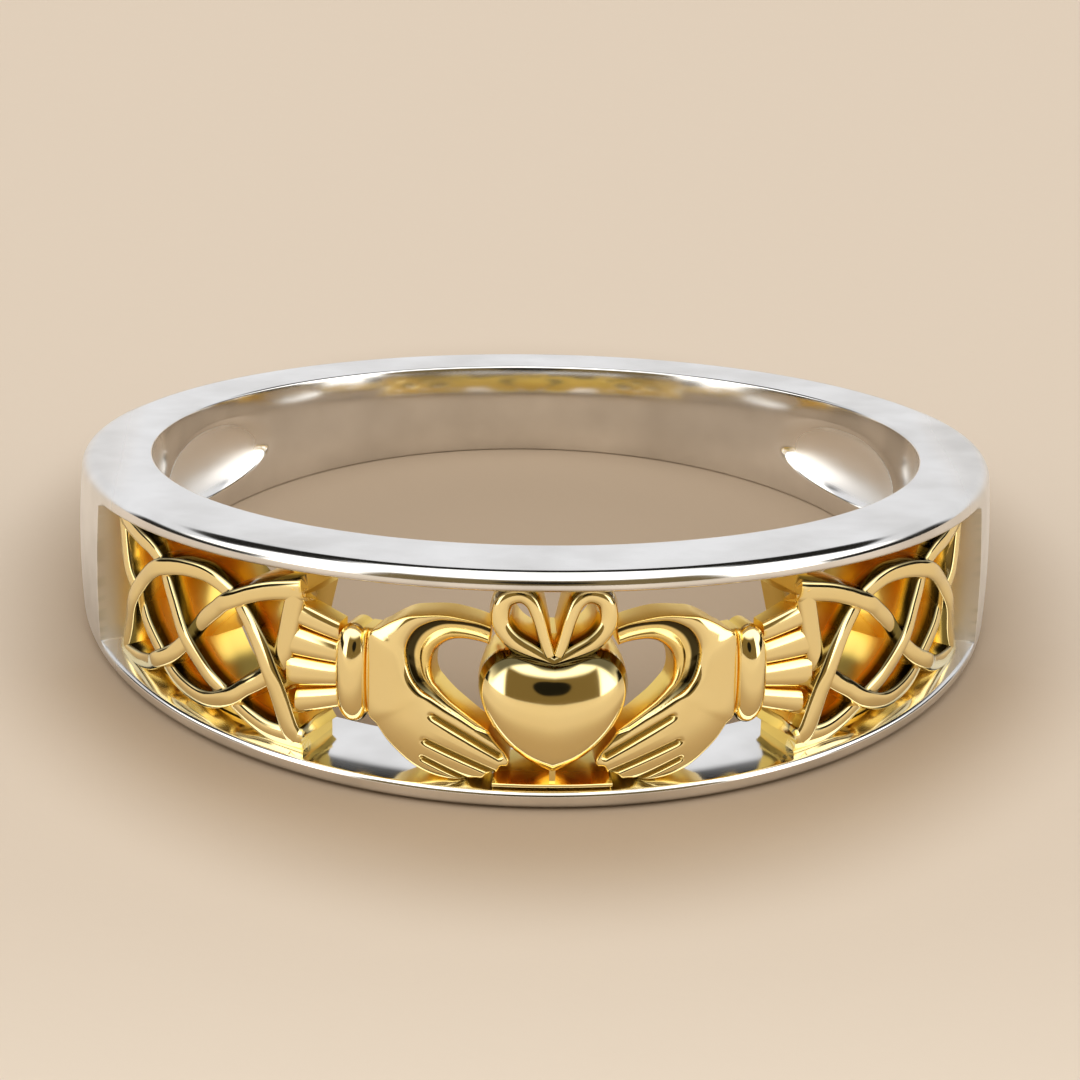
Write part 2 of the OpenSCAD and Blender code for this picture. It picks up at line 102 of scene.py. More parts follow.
def smoothRows(rows, steps):
    # a smooth curve through the rows: each span is the cubic that its four nearest rows give
    rows = np.asarray(rows, float)
    padded = np.vstack([2 * rows[0] - rows[1], rows, 2 * rows[-1] - rows[-2]])
    t = (np.arange(steps) / steps)[None, :, None]
    p0, p1, p2, p3 = (padded[k:len(padded) - 3 + k, None, :] for k in range(4))
    spans = 0.5 * (2 * p1 + (p2 - p0) * t + (2 * p0 - 5 * p1 + 4 * p2 - p3) * t ** 2
                   + (3 * p1 - p0 - 3 * p2 + p3) * t ** 3)
    return np.vstack([spans.reshape(-1, rows.shape[1]), rows[-1:]])


def softStep(x, low, high):
    # 0 below low, 1 above high, with the cubic 3t2 - 2t3 between
    t = np.clip((x - low) / (high - low), 0, 1)
    return t * t * (3 - 2 * t)


def gridPatch(points, wrapRows=False, wrapColumns=False, flip=False, dark=0.0, deep=0.0):
    # the points of a grid, one face for each of its cells, and two painted shades at each point: painted shade, which
    # darkens recesses and upward flanks for shade and dark reflections, and painted reflection down a wall, where gold
    # mirrors gold and turns amber
    rows, columns = points.shape[:2]
    i = np.arange(rows if wrapRows else rows - 1)[:, None]
    j = np.arange(columns if wrapColumns else columns - 1)[None, :]
    nextI, nextJ = (i + 1) % rows, (j + 1) % columns
    faces = np.stack([i * columns + j, i * columns + nextJ, nextI * columns + nextJ, nextI * columns + j], -1)
    faces = faces.reshape(-1, 4)
    shades = np.stack([np.broadcast_to(shade, (rows, columns)) for shade in (dark, deep)], -1)
    return points.reshape(-1, 3), faces[:, ::-1] if flip else faces, shades.reshape(-1, 2)


def ringCap(ringPoints, deep=0.0, centre=None):
    # a fan from a closed row of points to their mean, or to the centre that is given
    n = len(ringPoints)
    j = np.arange(n)
    middle = np.full(n, n)
    faces = np.stack([j, (j + 1) % n, middle, middle], -1)
    centre = ringPoints.mean(0) if centre is None else centre
    return np.vstack([ringPoints, centre]), faces, np.full((n + 1, 2), [0, deep])


def tubePatches(rings, deep=0.0, dark=0.0):
    # rings of points joined one to the next, with both ends closed
    end = np.max(deep)
    side = gridPatch(rings, wrapColumns=True, dark=dark, deep=deep)
    return [side, ringCap(rings[0][::-1], end), ringCap(rings[-1], end)]


def mirrored(patches, axis):
    # the same patches on the other side of the middle plane, with their faces turned round
    turn = np.ones(3)
    turn[axis] = -1
    return [(points * turn, faces[:, ::-1], shades) for points, faces, shades in patches]


# Points nearer than this, in metres, become one, and edges shorter than the second length go
weldDistance, leastEdge = 3e-7, 1e-8


def makePiece(name, patches, material, replacedNode, sharpAngle):
    # one closed mesh of all the patches, with faces outward, its painted shade and painted reflection, and one material
    points = np.vstack([p for p, f, shades in patches])
    starts = np.cumsum([0] + [len(p) for p, f, shades in patches[:-1]])
    faces = np.vstack([f + start for (p, f, shades), start in zip(patches, starts)])
    mesh = bpy.data.meshes.new(name)
    mesh.from_pydata(points.tolist(), [], [list(dict.fromkeys(f)) for f in faces.tolist()])
    shades = np.vstack([shades for p, f, shades in patches]).astype(np.float32)
    for column, key in enumerate(("paintedShade", "deep")):
        mesh.attributes.new(key, "FLOAT", "POINT").data.foreach_set("value", shades[:, column].copy())
    work = bmesh.new()
    work.from_mesh(mesh)
    bmesh.ops.remove_doubles(work, verts=work.verts, dist=weldDistance)
    bmesh.ops.dissolve_degenerate(work, edges=work.edges, dist=leastEdge)
    bmesh.ops.recalc_face_normals(work, faces=work.faces)
    openEdges = sum(1 for e in work.edges if len(e.link_faces) != 2)
    work.to_mesh(mesh)
    work.free()
    mesh.polygons.foreach_set("use_smooth", np.ones(len(mesh.polygons), bool))
    mesh.set_sharp_from_angle(angle=math.radians(sharpAngle))
    piece = bpy.data.objects.new(name, mesh)
    bpy.context.scene.collection.objects.link(piece)
    mesh.materials.append(material)
    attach(piece, "root")
    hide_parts(replacedNode)
    print(f"{name}: {len(mesh.polygons)} faces, open edges {openEdges}")


# Shader nodes

def addNode(tree, kind, inputs, **settings):
    # a node with its settings, and for each input a value, a colour or another node's output
    node = tree.nodes.new(kind)
    for key, value in settings.items():
        setattr(node, key, value)
    for key, value in inputs.items():
        socket = node.inputs[key]
        if isinstance(value, bpy.types.NodeSocket):
            tree.links.new(value, socket)
        else:
            socket.default_value = (*value, 1) if socket.type == "RGBA" else value
    return node


def calculated(tree, operation, *values):
    return addNode(tree, "ShaderNodeMath", dict(enumerate(values)), operation=operation).outputs[0]


def ranged(tree, value, low, high, start=0, end=1, curve="LINEAR"):
    inputs = {"Value": value, "From Min": low, "From Max": high, "To Min": start, "To Max": end}
    return addNode(tree, "ShaderNodeMapRange", inputs, interpolation_type=curve).outputs["Result"]


def softRange(tree, value, low, high):
    return ranged(tree, value, low, high, curve="SMOOTHSTEP")


def mixed(tree, factor, first, second):
    return addNode(tree, "ShaderNodeMix", {0: factor, 6: first, 7: second}, data_type="RGBA").outputs[2]


def noise(tree, place, scale, detail):
    inputs = {"Vector": place, "Scale": scale, "Detail": detail}
    return addNode(tree, "ShaderNodeTexNoise", inputs).outputs["Fac"]


def rippled(tree, height, distance):
    return addNode(tree, "ShaderNodeBump", {"Height": height, "Distance": distance}).outputs["Normal"]


# Materials

goldFinish = {
    "color": (1.0, 0.83, 0.42), "hazeColor": (0.98, 0.77, 0.33), "hazeShare": 0.4, "hazeScale": 900.0,
    "paintedReflectionColor": (1.0, 0.72, 0.17), "wallRough": 0.24, "paintedShadeColor": (0.035, 0.028, 0.010),
    "roughness": 0.055, "roughnessVary": 0.05, "rippleScale": 420.0, "rippleHeight": 0.000004,
    "satin": 0.0, "satinStart": 1.0, "satinEnd": 2.0,
}
silverFinish = {
    "color": (0.93, 0.925, 0.915), "hazeColor": (0.60, 0.585, 0.56), "hazeShare": 0.9, "hazeScale": 420.0,
    "paintedReflectionColor": (0.93, 0.90, 0.86), "wallRough": 0.3, "paintedShadeColor": (0.03, 0.03, 0.03),
    "roughness": 0.09, "roughnessVary": 0.06, "rippleScale": 300.0, "rippleHeight": 0.000003,
    "satin": 0.28, "satinStart": 0.0090, "satinEnd": 0.0097,
}
# The part of the noise over which the haze and the polish change
hazeSpan, polishSpan = (0.35, 0.85), (0.3, 0.75)


def polishedMetal(name, finish):
    # Bright metal. Its tint and polish drift a little from place to place, over a faint hand-polished ripple.
    # Walls take a painted reflection colour, amber on gold, and recesses and upward flanks take painted shade, each by
    # a shade of their points.
    # Roughness = the polish + the satin, which sets in far out along X, + the wall's own.
    material = bpy.data.materials.new(name)
    material.use_nodes = True
    tree = material.node_tree
    place = tree.nodes.new("ShaderNodeTexCoord").outputs["Object"]
    haze = noise(tree, place, finish["hazeScale"], 3)
    tint = mixed(tree, ranged(tree, haze, *hazeSpan, 0, finish["hazeShare"]), finish["color"], finish["hazeColor"])
    shades = {}
    # painted reflection colour on walls, then painted shade in recesses and on upward flanks
    for key, colour in (("deep", "paintedReflectionColor"), ("paintedShade", "paintedShadeColor")):
        shades[key] = addNode(tree, "ShaderNodeAttribute", {}, attribute_name=key).outputs["Fac"]
        tint = mixed(tree, shades[key], tint, finish[colour])
    side = calculated(tree, "ABSOLUTE", addNode(tree, "ShaderNodeSeparateXYZ", {0: place}).outputs["X"])
    base = finish["roughness"]
    polish = ranged(tree, haze, *polishSpan, base, base + finish["roughnessVary"])
    satin = ranged(tree, side, finish["satinStart"], finish["satinEnd"], 0, finish["satin"])
    wall = ranged(tree, shades["deep"], 0, 1, 0, finish["wallRough"])
    roughness = calculated(tree, "ADD", calculated(tree, "ADD", polish, satin), wall)
    normal = rippled(tree, noise(tree, place, finish["rippleScale"], 2), finish["rippleHeight"])
    shader = tree.nodes["Principled BSDF"]
    shader.inputs["Metallic"].default_value = 1.0
    for key, value in (("Base Color", tint), ("Roughness", roughness), ("Normal", normal)):
        tree.links.new(value, shader.inputs[key])
    return material


goldMetal = polishedMetal("gold", goldFinish)
silverMetal = polishedMetal("silver", silverFinish)
print("materials made")


# The silver band

bandLook = {
    "edgeRound": 0.32, "innerRound": 0.06, "windowRound": 0.11, "innerShare": 0.7, "windowBevel": 0.035,
    "roundFade": 1.6, "comfort": 0.10, "comfortPower": 2.2,
    "scoopAngle": 118, "scoopLength": 4.8, "scoopHeight": 1.75, "scoopDepth": 0.45, "scoopBack": 1.0,
    "scoopSoftness": 0.04, "softEnd": 4.0, "scoopShade": (0.08, 0.25), "endShade": 0.8,
    "ledgeShares": (0, 0.12, 0.35, 0.6, 0.85, 1), "faceShares": (0.03, 0.2, 0.5, 0.8, 0.97, 1),
    "railPoints": {"lip": 5, "wall": 9, "inner": 6, "outer": 17, "face": 7, "window": 8},
    "windowColumns": 232, "restColumns": 368, "middleRows": 44, "sharpAngle": 40,
}


def innerRadius(angle, height):
    # The hole's radius, which grows a little towards its edges by comfort |height / full|^comfortPower, or where it
    # is greater that of the two scoops' balls. A soft maximum joins them: soft ln(1 + e^((ball - radius) / soft)).
    look, hole = bandLook, ring["holeRadius"]
    back, soft, softEnd = look["scoopBack"], look["scoopSoftness"], look["softEnd"]
    reach = back + look["scoopDepth"]
    fall = (look["scoopLength"] / 2) ** 2 / 2 / hole
    halfLong = look["scoopLength"] / 2 / math.sqrt(1 - ((back - fall) / reach) ** 2)
    halfHigh = look["scoopHeight"] / 2 / math.sqrt(1 - (back / reach) ** 2)
    full = faceHeight(angle, hole) - look["innerRound"]
    radius = hole + look["comfort"] * np.abs(height / full) ** look["comfortPower"] + 0 * angle
    for side in (1, -1):
        d = np.radians(angle - side * look["scoopAngle"])
        middle = hole - back
        a = (np.cos(d) / reach) ** 2 + (np.sin(d) / halfLong) ** 2
        b = -2 * middle * np.cos(d) / reach ** 2
        c = (middle / reach) ** 2 + (height / halfHigh) ** 2 - 1
        inside = b * b - 4 * a * c
        ball = np.where((inside > 0) & (np.cos(d) > 0), (-b + np.sqrt(np.maximum(inside, 0))) / 2 / a, 0)
        over = np.clip((ball - radius) / soft, -softEnd, 10 * softEnd)
        radius = radius + soft * (np.log1p(np.exp(over)) - math.log1p(math.exp(-softEnd)))
    return radius


def outerFace(angle, height):
    # the outer radius and a bulge that falls with the square of the height
    full = faceHeight(angle, outerRadius(angle)) - bandLook["edgeRound"]
    return outerRadius(angle) + ring["belly"] * (1 - (height / full) ** 2)


def quarterTurn(points):
    # a column of angles from 0 to a right angle
    return np.radians(90) * np.linspace(0, 1, points)[:, None]


def railSurface(angles, inWindow):
    # From the window up the inner wall, over the side face and the outer corner, and down to the window. Walls are
    # straight rows, and corners quarter circles. The window's own corners fade out at its ends.
    look, hole, count = bandLook, ring["holeRadius"], bandLook["railPoints"]
    a = angles[None, :]
    fade = softStep(ring["windowAngle"] - np.abs(angles), 0, look["roundFade"])[None, :] if inWindow else 0 * a
    innerArc, outerArc = look["windowRound"] * look["innerShare"] * fade, look["windowRound"] * fade
    rows = []
    low = windowHeight(a, hole)
    start = low + innerArc
    lowRadius = innerRadius(a, start)
    if inWindow:
        turn = quarterTurn(count["lip"])[:-1]
        rows.append((lowRadius + innerArc * (1 - np.sin(turn)), low + innerArc * (1 - np.cos(turn))))
    end = faceHeight(a, hole) - look["innerRound"]
    wall = start + (end - start) * np.linspace(0, 1, count["wall"])[:, None]
    rows.append((innerRadius(a, wall), wall))
    highRadius = innerRadius(a, end)
    turn = quarterTurn(count["inner"])[1:]
    r = highRadius + look["innerRound"] * (1 - np.cos(turn))
    rows.append((r, faceHeight(a, r) - look["innerRound"] * (1 - np.sin(turn))))
    first, last = highRadius + look["innerRound"], outerRadius(a) - look["edgeRound"]
    r = first + (last - first) * np.array(look["faceShares"])[:, None]
    rows.append((r, faceHeight(a, r)))
    turn = quarterTurn(count["outer"])[1:]
    r = outerRadius(a) - look["edgeRound"] * (1 - np.sin(turn))
    rows.append((r, faceHeight(a, r) - look["edgeRound"] * (1 - np.cos(turn))))
    top = rows[-1][1][-1:]
    bevel = look["windowBevel"] * fade
    low = windowHeight(a, outerRadius(a)) + bevel
    wall = top + (low + outerArc - top) * np.linspace(0, 1, count["face"])[1:, None]
    rows.append((outerFace(a, wall), wall))
    if inWindow:
        turn = quarterTurn(count["window"])[1:]
        r = outerFace(a, low + outerArc) - outerArc * (1 - np.cos(turn))
        rows.append((r, low + outerArc * (1 - np.sin(turn))))
        t = np.array(look["ledgeShares"])[1:-1, None]
        outer = rows[-1][0][-1:]
        r = outer + (lowRadius + innerArc - outer) * t
        rows.append((r, low - bevel + (windowHeight(a, hole) - low + bevel) * t))
    radius = np.vstack([np.broadcast_to(r, (len(r), len(angles))) for r, h in rows])
    height = np.vstack([np.broadcast_to(h, (len(h), len(angles))) for r, h in rows])
    return onRing(a, radius, height), onRing(a, radius, -height)


def bandPatches():
    # the rails above and below, the outer and the inner wall between them, and the window's two ends
    look, edge, hole = bandLook, ring["windowAngle"], ring["holeRadius"]
    inner = np.linspace(-edge, edge, look["windowColumns"])
    rest = np.linspace(edge, 360 - edge, look["restColumns"])
    patches = []
    for angles, inWindow in ((inner, True), (rest, False)):
        for k, points in enumerate(railSurface(angles, inWindow)):
            patches.append(gridPatch(points, wrapRows=inWindow, flip=k == 1))
    share = np.sin(np.linspace(-np.pi / 2, np.pi / 2, look["middleRows"]))[:, None]
    a = rest[None, :]
    height = share * windowHeight(a, outerRadius(a))
    patches.append(gridPatch(onRing(a, outerFace(a, height), height)))
    height = share * windowHeight(a, hole)
    radius = innerRadius(a, height)
    # the scoops take the painted reflection colour
    patches.append(gridPatch(onRing(a, radius, height), flip=True, deep=softStep(radius - hole, *look["scoopShade"])))
    t = np.array(look["ledgeShares"])[None, :]
    # the window's two ends, in the painted reflection colour
    for side in (1, -1):
        a = side * edge
        outHeight = share * windowHeight(a, outerRadius(a))
        inHeight = share * windowHeight(a, hole)
        height = outHeight + (inHeight - outHeight) * t
        radius = outerFace(a, outHeight) * (1 - t) + innerRadius(a, inHeight) * t
        patches.append(gridPatch(onRing(a, radius, height), flip=side == 1, deep=look["endShade"]))
    return patches


makePiece("silverBand", bandPatches(), silverMetal, "band", bandLook["sharpAngle"])


# Strands: a section with a rounded top and sloping flanks, carried along a path. Its sizes are shares of its width.

strandLook = {
    "topHalf": 0.40, "topDrop": 0.17, "roundPower": 2.1, "footHalf": 0.56, "footDrop": 0.95,
    "darkness": 0.95, "darkFrom": 0.7, "flankDark": (0.3, 0.7), "flankDeep": (0.45, 0.85), "upwards": (0.15, 0.7),
    "topPoints": 17, "flankPoints": 6, "wallPoints": 2,
}


def strandSection(look):
    # Across, down, and the painted reflection and painted shade, from edge to edge. The top falls as a superellipse,
    # down = topDrop (1 - (1 - |across / topHalf|^roundPower)^(1/2)), and has painted shade at its edges.
    # The flanks run straight from there to the foot, with painted shade for a dark reflection in their upper part and
    # painted amber reflection below.
    across = look["topHalf"] * np.sin(np.linspace(-np.pi / 2, np.pi / 2, look["topPoints"]))
    share = np.abs(across / look["topHalf"])
    down = look["topDrop"] * (1 - np.sqrt(1 - share ** look["roundPower"]))
    t = np.linspace(0, 1, look["flankPoints"] + 1)[1:]
    top = (across, down, 0 * across, softStep(share, look["darkFrom"], 1))
    flank = (look["topHalf"] + (look["footHalf"] - look["topHalf"]) * t,
             look["topDrop"] + (look["footDrop"] - look["topDrop"]) * t,
             softStep(t, *look["flankDeep"]), 1 - softStep(t, *look["flankDark"]))
    return [np.concatenate([sign * side[::-1], middle, side]) for sign, side, middle in zip((-1, 1, 1, 1), flank, top)]


def strand(path, depth, look=strandLook):
    # The section stands across a path of angle, height, width and lift, and both walls run straight back from its
    # foot to the depth. Only what faces upwards takes the painted shade, which stands for a dark reflection.
    angle, height, width, lift = path.T
    front = goldFront(angle) + lift
    along = np.stack([np.gradient(np.radians(angle)) * front, np.gradient(height)], -1)
    along /= np.linalg.norm(along, axis=1, keepdims=True)
    across, down, deep, dark = strandSection(look)
    topRadius = front[:, None] - width[:, None] * down
    back = goldBack(angle, depth)[:, None]
    t = np.linspace(0, 1, look["wallPoints"] + 1)[None, 1:]
    wall = topRadius[:, -1:] * (1 - t) + back * t
    radius = np.hstack([topRadius, wall, wall[:, ::-1]])
    foot = np.full(t.size, look["footHalf"])
    offset = np.concatenate([across, foot, -foot])[None, :] * width[:, None]
    a = angle[:, None] - arcAngle(along[:, 1:2] * offset, front[:, None])
    z = height[:, None] + along[:, 0:1] * offset
    dark = look["darkness"] * dark * softStep(along[:, 0:1] * np.sign(across), *look["upwards"])
    dark = np.hstack([dark, np.zeros((len(angle), 2 * t.size))])
    deep = np.concatenate([deep, np.ones(2 * t.size)])[None, :]
    return tubePatches(onRing(a, radius, z), deep, dark)


# The knots

knotLook = {
    "columns": 6, "knotEnd": 0.65, "strandWidth": 0.48, "strandLift": 0.10, "steps": 10,
    "nearSwell": 0.3, "nearReach": 1.5,
    "border": 0.14, "borderDrop": 0.42, "borderPoints": 60,
    "wallWidth": 0.3, "wallInset": 0.25, "wallShort": 0.008, "wallPoints": 4,
    "wristAngle": 21.1, "collarWidth": 0.14, "cuffWidth": 0.68, "cuffHeight": 2.2, "sleeveLength": 0.78,
    "sharpAngle": 40,
}
# Columns from the sleeve, share of the window's half height, sag, over 1 or under -1. The weave sags a little.
rimArc = [
    (0.2, 0.86, 0.07, 0), (0.36, 0.63, 0.16, -0.5), (0.58, 0.23, 0.22, -0.8), (0.78, 0, 0.2, -1),
    (1.1, -0.24, 0.12, -0.5), (1.45, -0.42, 0.08, 0.3), (1.87, -0.6, 0.08, 1), (2.5, -0.75, 0.08, 0.6),
    (3.15, -0.76, 0.08, 0.2), (3.7, -0.71, 0.08, -0.4), (4.2, -0.6, 0.07, -1), (4.8, -0.32, 0.06, -0.7),
    (5.27, 0, 0.09, -1), (5.7, 0.4, 0.15, 0), (6, 0.96, 0.04, 0)]
crossArc = [
    (6, 0.97, 0.04, 0), (5.5, 0.91, 0.05, 0), (5, 0.85, 0.05, 0), (4.55, 0.76, 0.04, -0.4),
    (4.2, 0.61, 0.07, -1), (3.65, 0.33, 0.14, 0), (3.13, 0, 0.16, 1), (2.6, -0.32, 0.18, 0),
    (2.2, -0.49, 0.16, -0.5), (1.87, -0.61, 0.14, -1), (1.35, -0.73, 0.12, -0.4), (0.8, -0.81, 0.1, 0),
    (0.05, -0.84, 0.05, 0)]
knot = knotLook
cuffNear = knot["wristAngle"] + arcAngle(knot["collarWidth"], ring["frontRadius"])
cuffFar = cuffNear + arcAngle(knot["cuffWidth"], ring["frontRadius"])
knotAngle = cuffFar + arcAngle(knot["sleeveLength"], ring["frontRadius"])
knotPitch = (ring["windowAngle"] - arcAngle(knot["knotEnd"], ring["sideRadius"]) - knotAngle) / knot["columns"]


def knotPath(rows, turn):
    # a smooth curve through the rows, turned over by -1. Strands grow wider near the sleeve.
    column, share, sag, over = smoothRows(rows, knot["steps"]).T
    angle = knotAngle + column * knotPitch
    height = (turn * share - sag) * (windowHeight(angle, goldFront(angle)) - ring["gap"])
    width = knot["strandWidth"] * (1 + knot["nearSwell"] * np.maximum(1 - column / knot["nearReach"], 0))
    return np.stack([angle, height, width, turn * over * knot["strandLift"]], -1)


def slabRings(angles, low, high, front, back):
    # a bar round the ring: a four-cornered section at each angle
    radius = np.stack([back, front, front, back], -1)
    height = np.stack([low, low, high, high], -1)
    return onRing(angles[:, None], radius, height)


def knotBorder():
    # a strip along each rail, and a wall at each end
    wallStart = knotAngle + arcAngle(knot["wallInset"], ring["frontRadius"])
    wallEnd = wallStart + arcAngle(knot["wallWidth"], ring["frontRadius"])
    borderEnd = ring["windowAngle"] - arcAngle(ring["gap"], ring["sideRadius"])
    lastStart = borderEnd - arcAngle(knot["border"], ring["sideRadius"])
    patches = []
    angles = np.linspace(wallStart, borderEnd, knot["borderPoints"])
    front = goldFront(angles) - knot["borderDrop"]
    back = goldBack(angles, ring["goldDepth"])
    top = windowHeight(angles, front) - ring["gap"]
    # the strips and walls take the painted amber reflection all over
    for side in (1, -1):
        patches += tubePatches(slabRings(angles, side * (top - knot["border"]), side * top, front, back), 1.0)
    for start, end in ((wallStart, wallEnd), (lastStart, borderEnd)):
        angles = np.linspace(start, end, knot["wallPoints"])
        front = goldFront(angles) - knot["borderDrop"]
        top = windowHeight(angles, front) - ring["gap"] - knot["wallShort"]
        patches += tubePatches(slabRings(angles, -top, top, front, goldBack(angles, ring["goldDepth"])), 1.0)
    return patches


# The sleeves' flutes: angle past the knot's corners, then shares of the cuff's half height there and at the cuff
sleeveLook = {
    "fluteDrop": 0.2, "fluteCrown": 0.13, "edgePower": 2.6, "edgeShade": 0.9, "depthShare": 0.5,
    "rows": 12, "points": 19,
}
flutes = [
    (1.6, 1.17, 0.665, 0.87, 0.46), (2.8, 0.635, 0.015, 0.44, 0.01),
    (2.8, -0.015, -0.635, -0.01, -0.44), (1.6, -0.665, -1.17, -0.46, -0.87)]


def sleevePatches():
    # Each flute is a half-round that widens from the cuff to the knot. Its crown falls to its edges by
    # fluteCrown (1 - (1 - |2u - 1|^edgePower)^(1/2)), with u from 0 at its top to 1 at its foot.
    look = sleeveLook
    patches = []
    half = knot["cuffHeight"] / 2
    t = np.linspace(0, 1, look["rows"])[:, None]
    u = (1 - np.cos(np.linspace(0, np.pi, look["points"])))[None, :] / 2
    aside = np.abs(2 * u - 1)
    # painted amber reflection at the flutes' edges and on their backs
    deep = np.hstack([softStep(aside, look["edgeShade"], 1), [[1, 1]]])
    for past, farTop, farLow, nearTop, nearLow in flutes:
        angle = cuffFar + (knotAngle + past - cuffFar) * t
        top = half * (nearTop + (farTop - nearTop) * t)
        low = half * (nearLow + (farLow - nearLow) * t)
        drop = look["fluteDrop"] * (1 - t / 2)
        crown = look["fluteCrown"] * ((1 - aside ** look["edgePower"]) ** (1 / 2) - 1)
        back = goldFront(angle) - ring["goldDepth"] * look["depthShare"]
        radius = np.hstack([goldFront(angle) - drop + crown, back, back])
        height = np.hstack([top + (low - top) * u, low, top])
        patches += tubePatches(onRing(angle, radius, height), deep)
    return patches


def knotPatches():
    patches = knotBorder() + sleevePatches()
    for turn in (1, -1):
        for rows in (rimArc, crossArc):
            patches += strand(knotPath(rows, turn), ring["goldDepth"])
    return patches


rightKnot = knotPatches()
makePiece("goldKnotRight", rightKnot, goldMetal, "knot_right", knot["sharpAngle"])
makePiece("goldKnotLeft", mirrored(rightKnot, 0), goldMetal, "knot_left", knot["sharpAngle"])


# The cuffs and hands

cuffLook = {
    "lower": 0.1, "spread": 1.22, "inwards": 0.12, "rise": 0.17, "side": 0.3, "endPower": 4, "bulgePower": 2.4,
    "least": 0.004, "edgeShade": 0.95, "rows": 61, "points": 25,
    "collarShare": 0.86, "collarBefore": 0.1, "collarPast": 0.3, "collarPower": 0.3, "collarRows": 25,
    "collarPoints": 41, "ribs": 2, "ribDip": 0.5, "ribShine": 0.7, "ribEndPower": 8,
}
handLook = {
    "depth": 0.8, "edgeRound": 0.06, "palmRise": 0.2, "palmPower": 2.5, "fullSpan": 3.0,
    "palmShade": 0.05, "shadeReach": 0.18, "darkHeights": (-0.8, -0.1),
    "creaseRound": 0.3, "creaseFall": 0.15, "wideCrease": 0.6, "lipRise": 0.075, "fullLip": 0.2,
    "coveDepth": 0.09, "fullCove": 0.4, "coveDark": 0.97, "coveDarkFrom": (0.3, 0.5), "coveDeep": 0.5,
    "grooveWidth": 0.055, "grooveDepth": 0.11, "grooveDark": 0.6, "grooveStart": 0.12,
    "fingerWidth": 0.17, "fingerCrown": 0.015, "fingerStart": 0.4, "tipNarrow": 0.6, "thumbOff": 0.02,
    "across": 110, "steps": 16, "endSteps": 12, "tailRows": 90, "tipRows": 60, "sharpAngle": 62,
}
# Round the hollow from the thumb's tip to the fingers: inner edge and outer edge, each as angle and height,
# then the distance from the hollow to the crease of the palm, and the width of the raised lip
handEdges = [
    (7.3, 0.86, 7.1, 1.30, 0.4, 0.22), (8.3, 0.91, 8.3, 1.38, 0.42, 0.24), (9.6, 0.945, 9.9, 1.45, 0.43, 0.26),
    (10.8, 0.94, 11.6, 1.50, 0.46, 0.28), (11.8, 0.89, 13.2, 1.50, 0.52, 0.3),
    (12.7, 0.78, 14.9, 1.465, 0.58, 0.32), (13.4, 0.64, 16.6, 1.41, 0.63, 0.33),
    (13.8, 0.48, 18.2, 1.27, 0.65, 0.33), (13.95, 0.32, 19.7, 1.09, 0.64, 0.31),
    (13.9, 0.17, 21.15, 0.88, 0.58, 0.27), (13.7, 0.05, 21.2, 0.3, 0.48, 0.22),
    (13.45, -0.03, 21.2, -0.3, 0.38, 0.17), (13.05, -0.11, 21.15, -0.88, 0.3, 0.13),
    (12.6, -0.2, 20.2, -1.08, 0.24, 0.11), (12.1, -0.29, 19.0, -1.38, 0.2, 0.095),
    (11.5, -0.39, 17.4, -1.66, 0.17, 0.085), (10.8, -0.49, 15.9, -1.87, 0.15, 0.075),
    (10.0, -0.6, 14.5, -2.0, 0.13, 0.07), (9.2, -0.71, 13.1, -2.08, 0.12, 0.065),
    (8.3, -0.83, 11.8, -2.12, 0.11, 0.06)]
# The fingers' ends, from the heart's flank to the last finger
fingerEnds = [
    (7.2, -0.98), (6.5, -1.16), (5.8, -1.32), (5.2, -1.46), (4.8, -1.6), (5.0, -1.71), (5.7, -1.73),
    (5.95, -1.8), (6.3, -1.9), (7.0, -1.91), (7.4, -1.95), (7.8, -2.02), (8.5, -2.03), (9.2, -2.06), (9.9, -2.12)]
# Grooves between the fingers: start and end, each as angle and height
fingerGrooves = [(14.1, -0.65, 5.9, -1.5), (14.9, -1.23, 6.6, -1.88), (15.1, -1.64, 9.2, -2.14)]
# Millimetres in a degree at the front
degreeLength = math.radians(1) * ring["frontRadius"]


def cuffPatches():
    # A bar across the wrist. Its width rounds off at both ends and its front bulges in the middle, each by
    # (1 - |v|^power)^(1/2), with v from -1 at its foot to 1 at its top.
    look = cuffLook
    v = np.sin(np.linspace(-np.pi / 2, np.pi / 2, look["rows"]))[:, None]
    narrow, bulge = (np.maximum(1 - np.abs(v) ** look[power], look["least"]) ** (1 / 2)
                     for power in ("endPower", "bulgePower"))
    u = -np.cos(np.linspace(0, np.pi, look["points"]))[None, :]
    middle = (cuffNear + cuffFar) / 2 - look["inwards"]
    half = look["spread"] * (cuffFar - cuffNear) / 2
    front = goldFront(middle) - look["side"]
    radius = front + (look["side"] + look["rise"]) * bulge * np.sqrt(1 - u * u)
    back = np.full((look["rows"], 2), goldBack(middle, handLook["depth"]))
    angle = middle + u * half * narrow
    angle = np.hstack([angle, angle[:, -1:], angle[:, :1]])
    height = v * knot["cuffHeight"] / 2 - look["lower"] + 0 * angle
    # painted amber reflection at the cuff's edges and on its back
    deep = np.hstack([softStep(np.abs(u), look["edgeShade"], 1), [[1, 1]]])
    return tubePatches(onRing(angle, np.hstack([radius, back]), height), deep)


